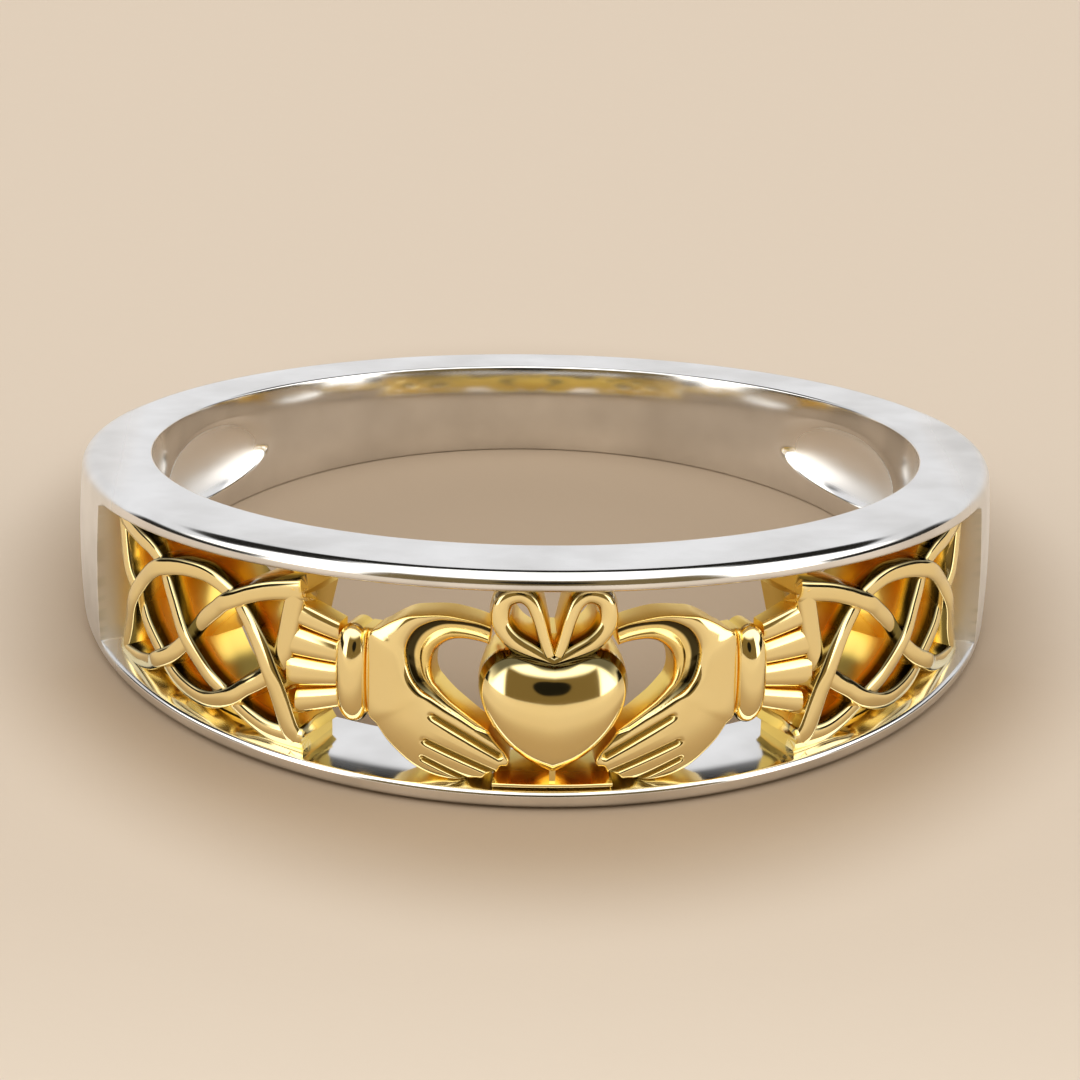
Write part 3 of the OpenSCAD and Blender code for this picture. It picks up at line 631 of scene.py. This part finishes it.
def collarPatches():
    # two ribs between the cuff and the hand, each a half circle along the band: (1 - (2 share - 1)^2)^(1/2)
    look = cuffLook
    half = look["collarShare"] * knot["cuffHeight"] / 2
    share = np.linspace(0, 1, look["collarRows"])
    start = knot["wristAngle"] - look["collarBefore"]
    angles = start + (cuffNear + look["collarPast"] - start) * share
    rib = np.sqrt(np.maximum(1 - (2 * (share * look["ribs"] % 1) - 1) ** 2, 0))[:, None]
    t = -np.cos(np.linspace(0, np.pi, look["collarPoints"]))[None, :]
    front = goldFront(angles)[:, None] - look["side"]
    radius = front + look["side"] * (1 - t * t) ** look["collarPower"] * (1 - look["ribDip"] * (1 - rib))
    back = goldBack(angles, handLook["depth"])[:, None]
    height = half * np.hstack([t, [[1, -1]]]) + 0 * rib
    # painted amber reflection over the collar, less of it along the ribs' crowns
    shine = look["ribShine"] * np.hstack([rib * (1 - t ** look["ribEndPower"]), 0 * rib, 0 * rib])
    return tubePatches(onRing(angles[:, None], np.hstack([radius, back, back]), height), 1 - shine)


def segmentDistance(x, z, groove):
    # the distance in millimetres from each point to a line from start to end, and how far along it that is
    ax, az, bx, bz = groove[0] * degreeLength, groove[1], groove[2] * degreeLength, groove[3]
    dx, dz = bx - ax, bz - az
    t = np.clip(((x - ax) * dx + (z - az) * dz) / (dx * dx + dz * dz), 0, 1)
    return np.hypot(x - ax - t * dx, z - az - t * dz), t


def roundFall(share):
    # a quarter circle from 1 down to 0: 1 - (1 - (1 - share)^2)^(1/2)
    return 1 - np.sqrt(1 - (1 - share) ** 2)


def handGrid():
    # Angle and height of each point, from the hollow's edge to the outer edge, along the hand's edges and on to the
    # fingers' ends, with the crease and the lip of each row. Each point is a straight mix of its row's two ends.
    look = handLook
    rows, ends = smoothRows(handEdges, look["steps"]), smoothRows(fingerEnds, look["endSteps"])
    length = np.concatenate([[0], np.cumsum(np.hypot(*np.diff(ends * [degreeLength, 1], axis=0).T))])
    s = np.linspace(0, 1, look["across"])
    tips = [np.interp(s, length / length[-1], column) for column in ends.T]
    t = np.linspace(0, 1, look["tailRows"] + 1)[1:, None]
    columns = []
    for k, tip in enumerate(tips):
        body = rows[:, k:k + 1] * (1 - s) + rows[:, k + 2:k + 3] * s
        columns.append(np.vstack([body, body[-1] * (1 - t) + tip * t]))
    for k in (4, 5):
        columns.append(np.vstack([rows[:, k:k + 1], rows[-1, k] * (1 - look["tipNarrow"] * t)]))
    return s, tips, len(rows), columns


def handPatches():
    # The palm, thumb and fingers. The front is the gold's front, plus the palm's dome palmRise (1 - |2s - 1|^palmPower)
    # and the lip's half sine, less the cove between lip and crease, the rounded edges and the fingers' grooves.
    look = handLook
    s, tips, bodyRows, (angle, height, crease, lip) = handGrid()
    x = angle * degreeLength
    span = np.hypot(x[:, -1:] - x[:, :1], height[:, -1:] - height[:, :1])
    fromHollow, fromOutside = s * span, (1 - s) * span
    fromTips = np.full(angle.shape, np.inf)
    near = slice(bodyRows - look["tipRows"], None)
    fromTips[near] = np.hypot(x[near][:, :, None] - tips[0] * degreeLength, height[near][:, :, None] - tips[1]).min(2)
    fromThumb = np.hypot(x - x[0], height - height[0]) + look["thumbOff"]
    fromEdge = np.minimum.reduce([fromHollow, fromOutside, fromTips, fromThumb])
    reach = np.clip(fromEdge / look["edgeRound"], 0, 1)
    # the cove drops steeply at the palm's crease and flattens towards the lip, and past the crease the palm is rounded
    down = np.clip((crease - fromHollow) / (crease - lip), 0, 1)
    cove = look["coveDepth"] * (1 - roundFall(down)) * np.minimum(crease / look["fullCove"], 1)
    bead = look["lipRise"] * np.sin(np.pi * np.clip(fromHollow / lip, 0, 1)) * np.minimum(lip / look["fullLip"], 1)
    dome = look["palmRise"] * (1 - np.abs(2 * s - 1) ** look["palmPower"]) * np.minimum(span / look["fullSpan"], 1)
    share = crease / look["wideCrease"]
    pastCrease = np.clip((fromHollow - crease) / look["creaseRound"] / share, 0, 1)
    dome = dome - look["creaseFall"] * share * roundFall(pastCrease)
    groove, crown = np.zeros(angle.shape), np.zeros(angle.shape)
    for row in fingerGrooves:
        away, along = segmentDistance(x, height, row)
        line, bulge = (np.exp(-(away / look[width]) ** 2) for width in ("grooveWidth", "fingerWidth"))
        groove = np.maximum(groove, line * softStep(along, 0, look["grooveStart"]))
        crown = np.maximum(crown, bulge * softStep(along, 0, look["fingerStart"]))
    radius = (goldFront(angle) + dome + bead - cove - look["edgeRound"] * roundFall(reach)
              - look["grooveDepth"] * groove - look["fingerCrown"] * crown)
    # painted shade in the cove, along the fingers' grooves and faintly on the palm beside the crease, and painted amber
    # reflection in the grooves, the cove and at the rounded edges
    high = softStep(height, *look["darkHeights"])
    inCove = (down > 0) * softStep(1 - down, *look["coveDarkFrom"]) * look["coveDark"] * high
    beside = np.exp(-(np.maximum(fromHollow - crease, 0) / look["shadeReach"]) ** 2) * high * (down <= 0)
    dark = np.maximum.reduce([inCove, look["palmShade"] * beside, look["grooveDark"] * groove])
    deep = np.maximum.reduce([groove, look["coveDeep"] * down, 1 - reach])
    front = onRing(angle, radius, height)
    back = onRing(angle, goldBack(angle, look["depth"]), height)

    def outline(grid):
        return np.concatenate([grid[:, 0], grid[-1, 1:], grid[-2::-1, -1], grid[0, -2:0:-1]])

    rim, foot = outline(front), outline(back)
    edge = np.stack([rim, (rim + foot) / 2, foot], 0)
    return [gridPatch(front, dark=dark, deep=deep), gridPatch(back, flip=True, deep=1.0),
            gridPatch(edge, wrapColumns=True, flip=True, deep=1.0)]


rightHand = handPatches() + cuffPatches() + collarPatches()
makePiece("goldHandRight", rightHand, goldMetal, "hand_right", handLook["sharpAngle"])
makePiece("goldHandLeft", mirrored(rightHand, 0), goldMetal, "hand_left", handLook["sharpAngle"])


# The heart

heartLook = {
    "width": 3.26, "domeMiddle": 0.5, "domeShare": 0.9, "domePower": 2.1, "smoothing": 0.7, "notchPower": 7,
    "rimDrop": 0.16, "rimWidth": 0.045, "rimFall": 0.26,
    "rimDark": 0.14, "rimFade": 0.7, "notchDark": 0.8, "notchFrom": 0.9, "upwards": (0.35, 0.7), "darkness": 0.95,
    "flare": 0.07, "flareTo": 0.5, "wallDeepTo": 0.12, "around": 24, "rings": 70, "wallRows": 9,
    "seatAngle": 6.6, "seatHeight": 0.08, "seatDrop": -0.17, "seatRows": 24, "seatPoints": 9,
    "plateDrop": 0.25, "plateRise": 0.26, "plateDark": 0.3,
    "stemWidth": 0.13, "stemShare": 0.25, "stemDeep": 0.5, "stemRows": 5, "sharpAngle": 45,
}
# Right half from the notch to the tip: share of half the width, share of the height from the tip
heartHalf = [
    (0, 0.9), (0.2, 0.95), (0.42, 0.99), (0.64, 1), (0.83, 0.945), (0.955, 0.84), (1, 0.7), (0.955, 0.56),
    (0.83, 0.42), (0.65, 0.285), (0.46, 0.175), (0.24, 0.08), (0, 0)]


def heartOutline():
    half = smoothRows(heartHalf, heartLook["around"])
    x = half[:, 0] * heartLook["width"] / 2
    z = heartTipHeight + half[:, 1] * ring["heartHeight"]
    return np.concatenate([x, -x[-2:0:-1]]), np.concatenate([z, z[-2:0:-1]])


def heartPatches():
    # Rings from the middle to the outline. Inside they follow a rounder outline, the mean reach of the outline's own
    # neighbourhood, and the notch grows in outwards by s^notchPower. The dome is (1 - domeShare s^domePower)^(1/2),
    # and outside it the rim falls straight to the wall.
    look = heartLook
    x, z = heartOutline()
    middle = heartTipHeight + look["domeMiddle"] * ring["heartHeight"]
    dx, dz = x, z - middle
    far, turn = np.hypot(dx, dz), np.arctan2(dx, dz)
    apart = np.angle(np.exp(1j * (turn[:, None] - turn)))
    weights = np.exp(-(apart / look["smoothing"]) ** 2) * np.hypot(np.gradient(x), np.gradient(z))
    rounder = weights @ far / weights.sum(1)
    s = np.sin(np.linspace(0, np.pi / 2, look["rings"]))[1:, None]
    blend = s ** look["notchPower"]
    reach = s * (far * blend + rounder * (1 - blend))
    px, pz = reach * np.sin(turn), middle + reach * np.cos(turn)
    low = goldFront(0) - look["rimDrop"]
    high = ring["frontRadius"] + ring["heartProud"]
    inner = np.clip(s / (1 - look["rimWidth"]), 0, 1)
    outer = np.clip((s - 1 + look["rimWidth"]) / look["rimWidth"], 0, 1)
    dome = (1 - look["domeShare"] * inner ** look["domePower"]) ** (1 / 2)
    shoulder = (1 - look["domeShare"]) ** (1 / 2)
    rise = (high - low - look["rimFall"]) * (dome - shoulder) / (1 - shoulder)
    front = onRing(arcAngle(px, ring["frontRadius"]), low + look["rimFall"] * (1 - outer) + rise + 0 * px, pz)
    # the lobes' upper edge has painted shade for a dark reflection, a little more so at the notch
    upwards = np.cos(turn)
    darkWidth = look["rimDark"] * (1 + look["notchDark"] * softStep(upwards, look["notchFrom"], 1))
    dark = softStep(s, 1 - darkWidth, 1 - darkWidth * look["rimFade"]) * softStep(upwards, *look["upwards"])
    centre = onRing(np.zeros(1), np.array([high]), np.array([middle]))
    back = goldBack(0, ring["goldDepth"])
    # the wall takes the painted amber reflection
    t = np.linspace(0, 1, look["wallRows"])[:, None]
    grow = 1 + look["flare"] * softStep(t, 0, look["flareTo"]) / far
    wall = onRing(arcAngle(dx * grow, ring["frontRadius"]), low * (1 - t) + back * t, middle + dz * grow)
    return [ringCap(front[0], centre=centre), gridPatch(front, wrapColumns=True, dark=look["darkness"] * dark),
            gridPatch(wall, wrapColumns=True, deep=softStep(t, 0, look["wallDeepTo"])), ringCap(wall[-1], 1.0)]


def heartSeat():
    # the bar on the lower rail, a half circle in front of a plate with painted amber reflection and painted shade, and
    # the stem that carries the heart's tip
    look = heartLook
    floor = -goldHalfHeight
    angles = np.linspace(-look["seatAngle"], look["seatAngle"], look["seatRows"])[:, None]
    back = goldBack(angles, ring["goldDepth"])
    u = np.linspace(0, np.pi, look["seatPoints"])[None, :]
    front = goldFront(angles) - look["seatDrop"] + look["seatHeight"] / 2 * np.sin(u)
    height = floor + look["seatHeight"] / 2 * (1 - np.cos(u)) + 0 * angles
    behind = goldFront(angles) - look["plateDrop"]
    top = np.full(angles.shape, floor + look["plateRise"])
    bar = onRing(angles, np.hstack([front, behind, back, back]), np.hstack([height, top, top, 0 * top + floor]))
    # the plate takes the painted amber reflection and some painted shade
    plate = np.array([[0] * look["seatPoints"] + [1, 1, 1]])
    half = arcAngle(look["stemWidth"] / 2, ring["frontRadius"])
    angles = np.linspace(-half, half, look["stemRows"])
    low, high = 0 * angles + floor, 0 * angles + heartTipHeight + look["stemShare"] * ring["heartHeight"]
    stem = slabRings(angles, low, high, goldFront(angles) - look["seatDrop"] / 2, goldBack(angles, ring["goldDepth"]))
    return tubePatches(bar, plate, look["plateDark"] * plate) + tubePatches(stem, look["stemDeep"])


makePiece("goldHeart", heartPatches() + heartSeat(), goldMetal, "heart", heartLook["sharpAngle"])


# The crown

crownLook = {
    **strandLook, "topDrop": 0.28, "roundPower": 2.0, "footHalf": 0.52, "footDrop": 0.9, "darkness": 0.92,
    "darkFrom": 0.5, "topPoints": 21,
    "width": 2.8, "strandWidth": 0.48, "lift": 0.05, "steps": 12, "webDrop": 0.35, "webPoints": 9, "sharpAngle": 45,
}
# Right leaf from the notch round and back: share of half the width, share of the way up, share of the strand's width
leafRows = [
    (0.006, 0, 0.8), (0.42, 0.16, 1), (0.76, 0.31, 1), (0.97, 0.5, 1), (1, 0.7, 1), (0.89, 0.87, 0.95),
    (0.64, 0.93, 0.88), (0.43, 0.84, 0.76), (0.3, 0.63, 0.66), (0.2, 0.38, 0.62), (0.09, 0.12, 0.62)]
# The web between the leaves and the bar along the rail: shares of the way up from and to, share of half the width
webRows = [(0, 0.36, 0.2), (0.93, 1, 0.6)]


def crownPatches():
    # two leaves, each a strand carried along a smooth curve through its rows, and two slabs
    look = crownLook
    half = (look["width"] - look["strandWidth"]) / 2
    across, up, wide = smoothRows(leafRows, look["steps"]).T
    angle = arcAngle(across * half, ring["frontRadius"])
    rise = goldHalfHeight - notchHeight
    path = np.stack([angle, notchHeight + up * rise, wide * look["strandWidth"], 0 * up + look["lift"]], -1)
    leaf = strand(path, ring["goldDepth"], look)
    patches = leaf + mirrored(leaf, 0)
    for low, high, share in webRows:
        reach = arcAngle(share * half, ring["frontRadius"])
        angles = np.linspace(-reach, reach, look["webPoints"])
        foot, top = (0 * angles + notchHeight + way * rise for way in (low, high))
        front, back = goldFront(angles) - look["webDrop"], goldBack(angles, ring["goldDepth"])
        # the webs take the painted amber reflection all over
        patches += tubePatches(slabRings(angles, foot, top, front, back), 1.0)
    return patches


makePiece("goldCrown", crownPatches(), goldMetal, "crown", crownLook["sharpAngle"])


# Floor, light and camera

# Lengths in metres. The floor has a painted shadow near the ring, and painted light in front of it.
floorLook = {
    "size": 1.2, "color": (0.66, 0.555, 0.445), "roughness": 0.75, "specular": 0.2,
    "paintedShadowColor": (0.42, 0.32, 0.225), "nearFrom": 0.0105, "nearTo": 0.0150, "nearShape": (1.1, 0.88, 1.0),
    "paintedLightColor": (0.75, 0.645, 0.525), "frontFrom": -0.0125, "frontTo": -0.028,
    "grainScale": 900.0, "grainDetail": 4, "grainHeight": 0.00002,
}
# Angles in degrees: azimuth to both sides of the front, and elevation
lightLook = {
    "strength": 1.2, "overhead": (1.5, 1.48, 1.45), "dark": (0.010, 0.009, 0.007), "backdrop": (0.70, 0.70, 0.71),
    "behindFrom": 106, "behindSoft": 6, "darkFrom": 33, "darkFromSoft": 2, "darkTo": 62, "darkToSoft": 4,
    "frontGlow": (2.05, 1.98, 1.85), "glowFrom": 5, "glowTo": 40,
    "frontBrown": (0.16, 0.115, 0.05), "brownWidth": 48, "brownWidthSoft": 3, "brownTop": 41, "brownTopSoft": 7,
    "ovalWidth": 13.5, "ovalHeight": 10.5, "ovalMiddle": 20, "ovalEdge": 1.05, "ovalSoft": 0.25,
    "sideFrom": 75, "sideTo": 125, "sideTop": 15, "sideSoft": 4,
}


def makeFloor():
    look = floorLook
    half = look["size"] / 2
    mesh = bpy.data.meshes.new("floor")
    mesh.from_pydata([(-half, -half, 0), (half, -half, 0), (half, half, 0), (-half, half, 0)], [], [(0, 1, 2, 3)])
    floor = bpy.data.objects.new("floor", mesh)
    bpy.context.scene.collection.objects.link(floor)
    material = bpy.data.materials.new("paleFloor")
    material.use_nodes = True
    tree = material.node_tree
    place = tree.nodes.new("ShaderNodeTexCoord").outputs["Object"]
    shape = addNode(tree, "ShaderNodeVectorMath", {0: place, 1: look["nearShape"]}, operation="MULTIPLY")
    away = addNode(tree, "ShaderNodeVectorMath", {0: shape.outputs["Vector"]}, operation="LENGTH").outputs["Value"]
    # painted shadow round the ring
    color = mixed(tree, softRange(tree, away, look["nearFrom"], look["nearTo"]), look["paintedShadowColor"], look["color"])
    y = addNode(tree, "ShaderNodeSeparateXYZ", {0: place}).outputs["Y"]
    # painted light in front of the ring
    color = mixed(tree, softRange(tree, y, look["frontFrom"], look["frontTo"]), color, look["paintedLightColor"])
    grain = noise(tree, place, look["grainScale"], look["grainDetail"])
    shader = tree.nodes["Principled BSDF"]
    shader.inputs["Roughness"].default_value = look["roughness"]
    shader.inputs["Specular IOR Level"].default_value = look["specular"]
    tree.links.new(color, shader.inputs["Base Color"])
    tree.links.new(rippled(tree, grain, look["grainHeight"]), shader.inputs["Normal"])
    mesh.materials.append(material)


def makeWorld():
    # A soft studio. Overhead it is bright, in front it glows above a brown screen with a dark oval, behind there is a
    # grey backdrop with a dark strip above it, and low down at both sides stands a dark screen.
    look = lightLook
    world = bpy.data.worlds.new("softStudio")
    bpy.context.scene.world = world
    world.use_nodes = True
    tree = world.node_tree

    def above(value, limit, soft):
        return softRange(tree, value, limit - soft, limit + soft)

    def below(value, limit, soft):
        return calculated(tree, "SUBTRACT", 1.0, above(value, limit, soft))

    def product(first, second):
        return calculated(tree, "MULTIPLY", first, second)

    def squared(value, size):
        return calculated(tree, "POWER", calculated(tree, "DIVIDE", value, size), 2.0)

    place = tree.nodes.new("ShaderNodeTexCoord").outputs["Generated"]
    x, y, z = addNode(tree, "ShaderNodeSeparateXYZ", {0: place}).outputs
    toDegrees = 180 / math.pi
    elevation = product(calculated(tree, "ARCSINE", z), toDegrees)
    turn = calculated(tree, "ARCTAN2", x, product(y, -1.0))
    azimuth = calculated(tree, "ABSOLUTE", product(turn, toDegrees))
    back = mixed(tree, above(elevation, look["darkFrom"], look["darkFromSoft"]), look["backdrop"], look["dark"])
    back = mixed(tree, above(elevation, look["darkTo"], look["darkToSoft"]), back, look["overhead"])
    higher = softRange(tree, elevation, look["glowFrom"], look["glowTo"])
    front = mixed(tree, higher, look["frontGlow"], look["overhead"])
    brown = product(below(azimuth, look["brownWidth"], look["brownWidthSoft"]),
                    below(elevation, look["brownTop"], look["brownTopSoft"]))
    front = mixed(tree, brown, front, look["frontBrown"])
    aboveOval = calculated(tree, "SUBTRACT", elevation, look["ovalMiddle"])
    reach = calculated(tree, "ADD", squared(azimuth, look["ovalWidth"]), squared(aboveOval, look["ovalHeight"]))
    front = mixed(tree, below(reach, look["ovalEdge"], look["ovalSoft"]), front, look["dark"])
    soft = look["sideSoft"]
    sides = product(above(azimuth, look["sideFrom"], soft), below(azimuth, look["sideTo"], soft))
    screens = product(sides, below(elevation, look["sideTop"], soft))
    room = mixed(tree, above(azimuth, look["behindFrom"], look["behindSoft"]), front, back)
    background = tree.nodes["Background"]
    tree.links.new(mixed(tree, screens, room, look["dark"]), background.inputs["Color"])
    background.inputs["Strength"].default_value = look["strength"]


cameraLook = {
    "frame": 1080, "focalPixels": 4329.9, "distance": 0.1, "elevation": 23.56, "azimuth": -2.519,
    "roll": -1.189, "middle": (534.1, 539.1), "lookAt": (0.0, 0.000404, 0.001327),
    "sensor": 36, "clipStart": 0.005, "clipEnd": 10,
}


def makeCamera():
    # the photo's own view: the middle is the point of the picture that the camera looks straight at
    look = cameraLook
    data = bpy.data.cameras.new("camera")
    data.sensor_width = look["sensor"]
    data.lens = look["focalPixels"] / look["frame"] * data.sensor_width
    data.clip_start = look["clipStart"]
    data.clip_end = look["clipEnd"]
    data.shift_x = -(look["middle"][0] - look["frame"] / 2) / look["frame"]
    data.shift_y = (look["middle"][1] - look["frame"] / 2) / look["frame"]
    e, a = math.radians(look["elevation"]), math.radians(look["azimuth"])
    back = Vector((math.sin(a) * math.cos(e), -math.cos(a) * math.cos(e), math.sin(e)))
    camera = bpy.data.objects.new("camera", data)
    camera.location = Vector(look["lookAt"]) + back * look["distance"]
    turn = back.to_track_quat("Z", "Y").to_matrix()
    camera.rotation_euler = (turn @ Matrix.Rotation(math.radians(-look["roll"]), 3, "Z")).to_euler()
    bpy.context.scene.collection.objects.link(camera)
    bpy.context.scene.camera = camera


makeFloor()
makeWorld()
makeCamera()
scene = bpy.context.scene
scene.view_settings.view_transform = "Standard"
scene.cycles.max_bounces = 12
scene.cycles.glossy_bounces = 8
print("floor, light and camera made")
